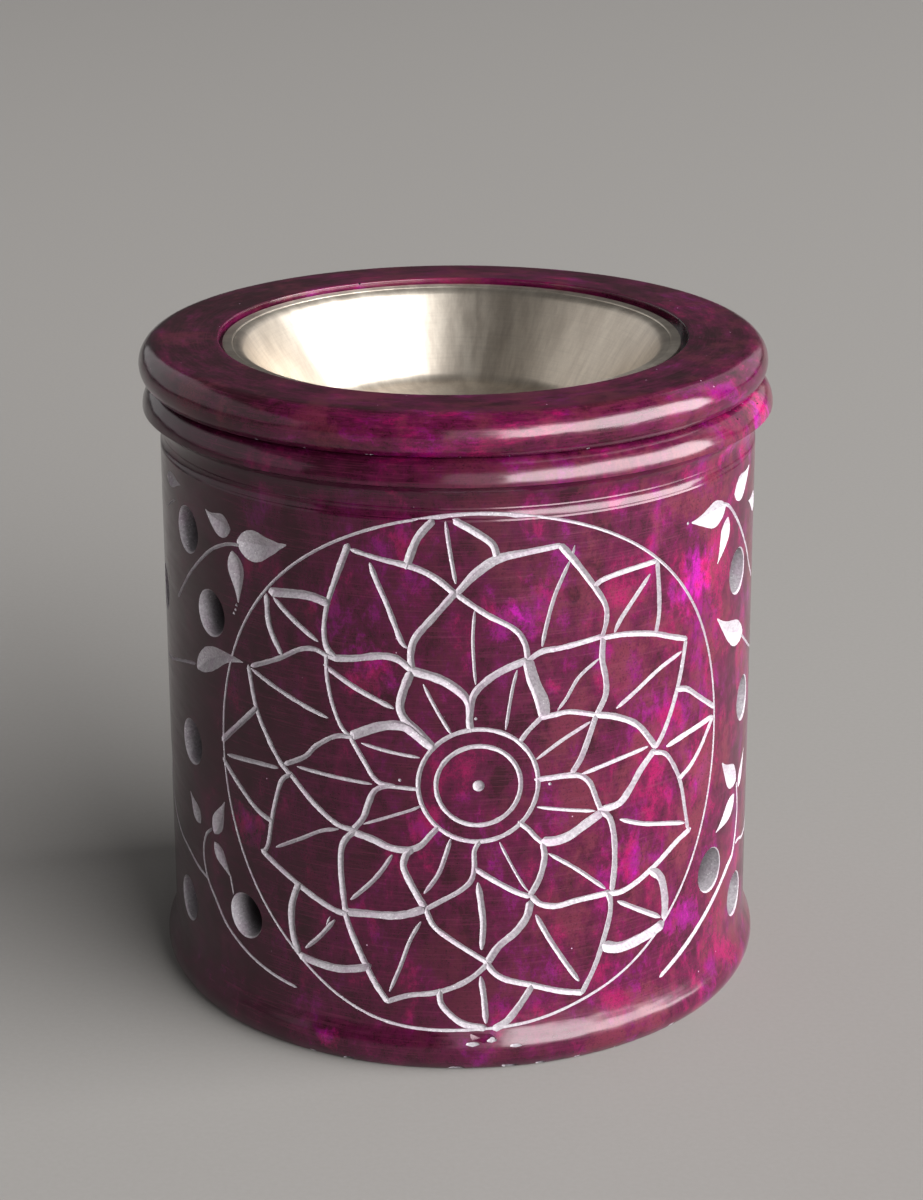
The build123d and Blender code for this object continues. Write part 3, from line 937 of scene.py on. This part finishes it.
flower_inner = [
    groove((1.3, 1.3, 1.2, 1.0, 0.9, 0.9),
           (-5.3, 50), (-2, 49), (0.3, 47.4), (1.1, 46), (1.2, 44.5), (1.3, 43)),
    groove(1.2, (-5.5, 49.6), (-6.3, 47.5), (-6.7, 45.5), (-6.1, 44), (-4.8, 42.8), (-3.1, 40.9)),
    rib(0.45, (-4, 48.4), (-2.5, 45.3), (-0.8, 42.3)),
    groove(1.4, (-12.4, 41.5), (-9, 43), (-6.3, 43.2), (-4.5, 42), (-3, 40.8)),
    groove(0.7, (-12.5, 41), (-11, 38.5), (-10, 36.8), (-9, 36), (-7.5, 35.8)),
    rib(0.45, (-11.3, 40.7), (-8, 40), (-4.5, 39.5)),
    groove(1.0, (7.6, 51), (5, 50), (3, 48.7), (1.6, 47), (1.2, 44.5), (1.3, 43)),
    groove((1.5, 1.7, 1.9, 1.7), (8, 50.8), (8.6, 48.5), (9.6, 46), (9.9, 44.2), lean=-0.5),
    groove(0.7, (9.5, 44), (8, 42.6), (7, 41.3)),
    rib(0.4, (6.6, 49.9), (6, 47.3), (5.3, 42.8)),
    groove(0.75, (16.2, 43.3), (13, 44.2), (11, 44.1), (9.5, 43.9)),
    groove(0.9, (16.1, 43), (15.2, 40.5), (14.3, 38.3), (13.3, 36.8)),
    rib(0.5, (15.5, 42.6), (12, 40.9), (8.9, 38.9)),
    groove(0.55, (13.3, 36.6), (9, 36.5)),
    groove((0.9, 0.9, 0.9, 0.8, 0.7, 0.6, 0.6),
           (-12.4, 29.9), (-11.2, 31.5), (-10.5, 33.5), (-9.8, 35), (-8.5, 35.7), (-7, 35.7), (-4.8, 35.6)),
    groove((1.1, 1.1, 1.1, 1.0, 0.9, 0.8, 0.8),
           (-12.3, 29.5), (-10, 28.9), (-8, 28.1), (-6, 28), (-4.5, 28.6), (-3.3, 30), (-2.6, 30.8)),
    rib(0.4, (-11.2, 30.7), (-8, 32), (-5.5, 33), (-4.3, 33.6)),
    groove(1.0, (-4.1, 20.9), (-5, 22.5), (-6, 24.5), (-6.5, 26), (-6.1, 27.5), (-5.5, 28)),
    groove(0.7, (-3.8, 20.7), (-2, 21.8), (0, 23), (1.3, 24.3), (1.7, 26), (1.7, 28), (2.3, 29.2)),
    rib(0.55, (-4.1, 22.6), (-2.5, 25), (-1.6, 27.5), (-1, 29.6)),
    groove(0.8, (1.9, 25.7), (4, 24.2), (6.5, 22.6), (8, 21.9)),
    groove(0.9, (8.2, 22), (9.3, 24), (9.9, 26.5), (9.7, 28.2)),
    groove(0.7, (9.8, 28.3), (8.8, 29.3), (8, 30.3), (7, 31.2)),
    rib(0.35, (4.6, 29), (6, 26), (7.3, 23.5), (8, 22.5)),
    groove(0.8, (17, 31.2), (16.3, 33), (15.5, 35), (14.3, 36.1), (12.5, 36.4), (9, 36.4)),
    groove(1.4, (17, 31), (15, 30), (13, 28.9), (11.3, 28.5), (9.8, 28.6)),
    rib(0.45, (9, 33), (12, 32.3), (16.2, 31.4)),
]

flower_rings = [
    loop(0.42, 33.8, 31.85, (2.2, 36.6), (205, 14, 0.75), (179, 13, -0.6), (160, 12, -0.4)),
    loop(0.65, 6.9, 6.9, (2.2, 36.1)),
    loop(0.65, 4.85, 4.85, (2.2, 36.1)),
]

# Vines on the flanks: leaves from base to tip, and their stems

left_vines = [
    leaf((-29.2, 63.2), (-34, 64.4), 2.9, 0.08),
    leaf((-28, 62), (-20.5, 63.1), 3.8, -0.05),
    leaf((-29, 60.6), (-28.1, 54.6), 2.7, 0.05),
    leaf((-37.2, 43.9), (-27.6, 47.4), 3.0, 0.10),
    leaf((-34.3, 23.6), (-31.8, 28.5), 2.3),
    leaf((-37.8, 23.6), (-40.6, 26.7), 2.2),
    leaf((-34.3, 22.4), (-31, 19), 2.0),
    leaf((-45.9, 65.2), (-40.6, 65.6), 1.9),
    groove(0.5, (-28, 61.6), (-30, 61.2), (-33, 59.8), (-36, 57.5), (-38.5, 55.3), (-40.5, 53.3),
           (-42.5, 51.3)),
    groove(0.45, (-38, 44.2), (-41, 43.5), (-44.5, 42.5), (-47, 41.7)),
    groove(0.5, (-20.7, 7.9), (-24, 8.6), (-28, 10), (-32, 12.3), (-34.5, 15), (-36.2, 16.9), (-37, 19),
                 (-37, 21), (-36.2, 22.8), (-35, 23.8)),
    groove(0.5, (-36.2, 16.9), (-39, 17.6), (-42, 18.7), (-45, 19.5), (-48.5, 21.5), (-51, 25), (-52, 29)),
    groove(0.4, (-31, 19), (-30.6, 17.2)),
    groove(0.3, (-46, 61.5), (-44.5, 62.4), (-43, 63)),
]

right_vines = [
    leaf((37.6, 63.6), (30.2, 63.5), 3.2, 0.04),
    leaf((40.3, 64.2), (46.3, 66.2), 3.2, -0.06),
    leaf((38.4, 62.0), (35.9, 57.0), 2.3, 0.05),
    leaf((44.9, 45.6), (36.2, 50.1), 3.2, 0.07),
    leaf((43.6, 26.8), (38.5, 30.9), 3.0, 0.05),
    leaf((44.8, 25.3), (47.8, 29.3), 1.8),
    leaf((43.0, 25.1), (37.2, 22.3), 2.5, 0.05),
    leaf((52.4, 59.9), (46.6, 61.6), 2.5),
    groove(0.5, (37, 64), (38.5, 63.4), (40, 62.2), (42, 60.3), (44, 58.1), (46, 55.8), (48, 53.2),
           (50.5, 51)),
    groove(0.45, (44.5, 45.3), (47, 43.7), (50, 42), (54, 40.3)),
    groove((0.5, 0.5, 0.6, 0.8, 0.9, 0.9, 0.9, 0.9, 0.7),
           (44, 26), (44.6, 23), (44.3, 20.5), (43, 17.3), (41, 16.2), (38, 14.3), (34, 11.8), (30, 9.4),
           (26.3, 7.4)),
    groove(0.5, (44.5, 18), (46, 17.9), (48, 17.3), (51, 17.4), (54, 18.6)),
]

# Stems that carry the vines on round to the arch, where the photograph doesn't reach
rear_sprays = [
    ((54, 40.3), (58, 38.6), (63, 38), (67.5, 39.5)),
    ((54, 18.6), (58, 19.2), (62, 21.5), (64.5, 26)),
    ((66, 10.5), (70, 12), (74.5, 15.5), (77, 21)),
    ((72, 37), (76, 39.5), (79, 43.8), (80.5, 49)),
    ((86, 49), (90.5, 53), (94, 57.5), (95.5, 61.5)),
    ((-47, 41.7), (-52, 41), (-56, 42.6), (-58.5, 47)),
    ((-60, 22.5), (-64, 23.5), (-67.5, 26.5), (-69, 31)),
    ((-66, 9.5), (-70, 11.5), (-73, 14.5), (-74.5, 18.5)),
    ((-71, 40), (-75, 40.6), (-79.5, 42.4), (-82.5, 46)),
    ((-84, 51), (-88, 54), (-92, 58), (-94, 61.8)),
]


def rear_vines():
    """Each spray's stem, with two leaves at its tip and one below."""
    cuts = []
    for run in rear_sprays:
        side = 1 if run[0][0] > 0 else -1
        top = Vector(run[-1])
        twin = top + Vector((side * 0.7, 0.2))
        low = Vector(run[2]) + Vector((side * 1.1, -0.4))
        cuts.append(groove(0.5, *run))
        cuts.append(leaf(top, top + Vector((side * -4.4, 3.4)), 2.9, 0.05 * side))
        cuts.append(leaf(twin, top + Vector((side * 4.6, 3.6)), 2.8, -0.05 * side))
        cuts.append(leaf(low, low + Vector((side * 4.8, -0.6)), 2.6, 0.05 * side))
    return cuts


# Air holes: degrees round from the front, and the share of the carved wall's height
vents = [
    (-61.2, 0.884), (-52.9, 0.734), (-62.3, 0.424), (-44.7, 0.104), (-66.8, 0.050), (-79.5, 0.700),
    (-84.5, 0.305), (-97.5, 0.880), (-98.0, 0.095), (-103.5, 0.515), (-119.0, 0.780), (-121.0, 0.275),
    (66.4, 0.775), (72.4, 0.476), (56.5, 0.155), (69.6, 0.041), (90.0, 0.860),
    (88.5, 0.260), (98.0, 0.650), (97.0, 0.065), (109.0, 0.890), (112.5, 0.405), (127.0, 0.800),
]

# Drilled dimples: round, up and radius
dots = [
    (2.2, 36.1, 0.75), (1.9, 44.3, 0.22), (10.5, 35.7, 0.22), (-6.8, 36.6, 0.22), (29.5, 63.6, 0.22),
    (-28.4, 54.2, 0.22), (-28.6, 53.6, 0.22), (-28.9, 53.1, 0.22),
]

# Damage at the front of the foot: where (round, up, proud), size, seed and the material that it bares
foot_chips = [
    ((2.7, 4.4, 0.25), (2.0, 0.8, 0.75), 4, 0),
    ((1.4, 3.7, 0.12), (1.2, 0.5, 0.35), 7, 1),
    ((3.6, 4.1, 0.1), (0.8, 0.5, 0.4), 8, 1),
    ((6.4, 3.3, 0.1), (0.9, 0.4, 0.25), 11, 1),
]


def edge_chips(count, radius, height, centre, materials, seed, size=0.5, scatter=0.0):
    """Flakes lost here and there round a turned edge, within a scatter down and outwards."""
    chance = random.Random(seed)
    chips = []
    for i in range(count):
        angle = 2 * pi * chance.random()
        off = scatter * chance.random()
        away = radius + off
        place = (centre[0] + away * sin(angle), centre[1] - away * cos(angle), height - off * 0.7)
        big = size * (0.25 + chance.random() ** 2)
        long = big * (1 + 2 * chance.random())
        turn = chance.random() * pi
        flake = (big + long * abs(cos(turn)), big + long * abs(sin(turn)), big)
        chips.append(chip(f"chip_{seed}_{i}", place, flake, seed * 100 + i, materials))
    return chips


def make_pot(dyed, raw, bore_in_painted_shade):
    """The pot, turned, bored, arched, drilled and carved."""
    # The third material, for the bore, is dark nearly all over with painted shade.
    materials = [dyed, raw, bore_in_painted_shade]
    segments = 600
    profile = spaced(outside, 5.0)
    bore_foot = (bore_radius, pot_floor + bore_floor_round)
    floor_edge = (bore_radius - bore_floor_round, pot_floor)
    bore_round = tangent_arc(bore_foot, floor_edge, (0, -1))
    bore = spaced([(bore_radius, pot_height), bore_foot, *bore_round, (0, pot_floor)], 6.0)
    pot = turned("carved_pot", [(0, 0)] + profile + bore, materials, segments=segments)
    for face in pot.data.polygons[(len(profile) + 1) * segments:]:
        face.material_index = 2
    cuts = flower_rings + flower_outer + flower_third + flower_second + flower_inner
    cuts += left_vines + right_vines + rear_vines()
    cutters = [cutter(cut, number, materials) for number, cut in enumerate(cuts)]
    cutters += [vent(number, *place, materials) for number, place in enumerate(vents)]
    cutters += [dot(number, *place, materials) for number, place in enumerate(dots)]
    cutters += edge_chips(46, flange_radius - 1.7, pot_height - 0.5, (0, 0), materials, 5, 0.12, 0.8)
    cutters += edge_chips(34, foot_radius - 0.62, 0.35, (0, 0), materials, 9, 0.42)
    for place, size, seed, bared in foot_chips:
        cutters.append(chip(f"foot_chip_{seed}", on_wall(*place), size, seed, materials, bared))
    cut_away(pot, cutters + [arch_cutter(materials)])
    return pot


def make_ring(dyed, raw):
    """The loose ring on top: a bullnose outside, a ledge for the dish, and a spigot below."""
    top = ring_high.z
    spigot_foot = ring_low.z
    hole = dish_radius + dish_play
    ledge_z = top - rim_sunk - dish_sheet
    ledge = hole - ring_ledge_width
    spigot = ledge + spigot_wall
    widest = (ring_radius, top - ring_top_round)
    foot = (ring_radius - ring_foot_setback, pot_height)
    outline = [
        foot,
        *tangent_arc(widest, foot, (0, -1))[-2::-1],
        widest,
        *tangent_arc(widest, (ring_radius - ring_top_round, top), (0, 1)),
        (hole + ring_hole_round, top),
        *tangent_arc((hole + ring_hole_round, top), (hole, top - ring_hole_round), (-1, 0)),
        (hole, ledge_z),
        (ledge, ledge_z),
        (ledge, spigot_foot),
        (spigot - spigot_chamfer, spigot_foot),
        (spigot, spigot_foot + spigot_chamfer),
        (spigot, pot_height),
        foot,
    ]
    outline = spaced(outline, 1.2)[:-1]
    materials = [dyed, raw]
    ring = turned("dressed_ring", outline, materials, ring_centre, segments=480, closed=True)
    chips = edge_chips(24, ring_radius - 1.0, pot_height + 0.1, ring_centre, materials, 21, 0.15)
    chips += edge_chips(16, hole + 0.1, top - 0.1, ring_centre, materials, 33, 0.13)
    cut_away(ring, chips)
    return ring


def make_dish(steel):
    """The spun dish: flat floor, sloping wall, and a flat rim with a fine step round it."""
    rim_z = dish_high.z - dish_sheet / 2
    floor_z = dish_low.z + dish_sheet / 2
    step_bend = 0.03
    step_run = 0.1
    inside_box = 0.001
    points = [
        (0, floor_z),
        (dish_floor_radius, floor_z),
        (dish_radius - dish_rim_width, rim_z - dish_rim_step),
        (dish_radius - dish_rim_edge, rim_z - dish_rim_step),
        (dish_radius - dish_rim_edge + step_run, rim_z),
        (dish_radius - inside_box, rim_z),
    ]
    path = rounded_path(points, [dish_floor_bend, dish_rim_bend, step_bend, step_bend])
    outline = sheet_around(spaced(path, 1.0), dish_sheet)
    return turned("spun_dish", outline, [steel], dish_centre, sharp=30)


def make_cup(metal):
    """The tealight's cup, with a rolled lip."""
    sheet = 0.4
    lip = 0.5
    floor_bend = 1.2
    lip_bend = 0.4
    side = cup_radius - lip - sheet / 2
    top = cup_high.z - sheet / 2
    foot = cup_low.z + sheet / 2
    path = rounded_path([(0, foot), (side, foot), (side, top), (cup_radius, top)], [floor_bend, lip_bend])
    return turned("pressed_cup", sheet_around(spaced(path, 1.5), sheet), [metal], segments=240, sharp=35)


def make_wax(wax):
    """The cast wax: a fine rim where it crept up the cup, and a low dimple round the wick."""
    top = wax_high.z
    low = wax_low.z
    wick_hole = 0.85
    neck_room = 2.3
    disc_room = 6.1
    neck_top = low + 3.1
    disc_top = low + 0.4
    foot_bend = 1.2
    foot = (wax_radius - foot_bend, low)
    outline = [
        (wick_hole, neck_top),
        (neck_room, neck_top),
        (neck_room, disc_top),
        (disc_room, disc_top),
        (disc_room, low),
        foot,
        *tangent_arc(foot, (wax_radius, low + foot_bend), (1, 0)),
        (wax_radius, top - 0.1),
        (wax_radius - 0.15, top),
        (wax_radius - 0.8, top - 0.35),
        (wax_radius - 2.2, top - 0.55),
        (6.0, top - 0.6),
        (3.0, top - 0.75),
        (1.6, top - 0.6),
        (wick_hole, top - 0.2),
        (wick_hole, neck_top),
    ]
    return turned("cast_wax", spaced(outline, 1.0)[:-1], [wax], segments=180, closed=True, sharp=30)


def make_sustainer(tin):
    """The stamped disc with a crimped neck."""
    low = sustainer_low.z
    high = sustainer_high.z
    radius = (sustainer_high.x - sustainer_low.x) / 2
    sheet = 0.3
    edge = 0.1
    neck = 0.85
    outline = [
        (neck, low),
        (radius - edge, low),
        (radius, low + sheet / 2),
        (radius - edge, low + sheet),
        (neck + 2 * sheet, low + sheet),
        (neck + sheet, low + 2 * sheet),
        (neck + sheet, high),
        (neck, high),
        (neck, low),
    ]
    outline = spaced(outline, 0.8)[:-1]
    return turned("stamped_sustainer", outline, [tin], segments=96, closed=True, sharp=30)


def round_axis(turns):
    """The level unit vector at so many turns round from +X."""
    angle = 2 * pi * turns
    return Vector((cos(angle), sin(angle), 0))


def make_wick(cotton):
    """Three waxed strands, braided, with a trimmed tip."""
    low = wick_low.z
    radius = (wick_high.x - wick_low.x) / 2
    strand = radius * 0.52
    turn_height = 5.0
    sides = 10
    steps = 90
    bm = bmesh.new()
    for start in range(3):
        rows = []
        for i in range(steps + 1):
            z = low + (wick_high.z - low) * i / steps
            middle = round_axis((z - low) / turn_height + start / 3) * (radius - strand)
            thick = strand * (0.72 if i in (0, steps) else 1.0)
            places = [middle + round_axis(k / sides) * thick + Vector((0, 0, z)) for k in range(sides)]
            rows.append([bm.verts.new(place * MM) for place in places])
        skin(bm, rows, capped=True)
    return finished(bm, "braided_wick", [cotton])


def dress(piece, node, body):
    """Puts a piece in the place of its node."""
    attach(piece, body)
    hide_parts(node)


camera_and_light()
make_floor()

dyed_pot = dyed_stone("dyed_soapstone_pot", (0, 0, 0), (0, 0), 0.85, (1, 1, 0.6), 1.08, 0.02, bright_dye)
ring_shift = Vector((61, 23, 47))
ring_dye_centre = ring_centre + ring_shift
dyed_ring = dyed_stone("dyed_soapstone_ring", ring_shift, ring_dye_centre, 0.55, (0.4, 0.4, 1), 1.35, -0.10)
raw = raw_stone("raw_soapstone")
# The bore's stone, which the painted depth shade darkens nearly all over.
bore = raw_stone("bored_soapstone", light="a8979f", dark="75636d", dye=0.3)

dress(make_pot(dyed_pot, raw, bore), "stone_pot", "pot")
dress(make_ring(dyed_ring, raw), "top_ring", "ring")
dress(make_dish(spun_steel("satin_steel", dish_centre)), "steel_dish", "dish")
dress(make_cup(thin_aluminium("pressed_aluminium")), "tealight_cup", "tealight")
dress(make_wax(paraffin("paraffin_wax")), "tealight_wax", "tealight")
dress(make_sustainer(tin_plate("tin_plate")), "wick_sustainer", "tealight")
dress(make_wick(waxed_cotton("waxed_cotton")), "wick", "tealight")
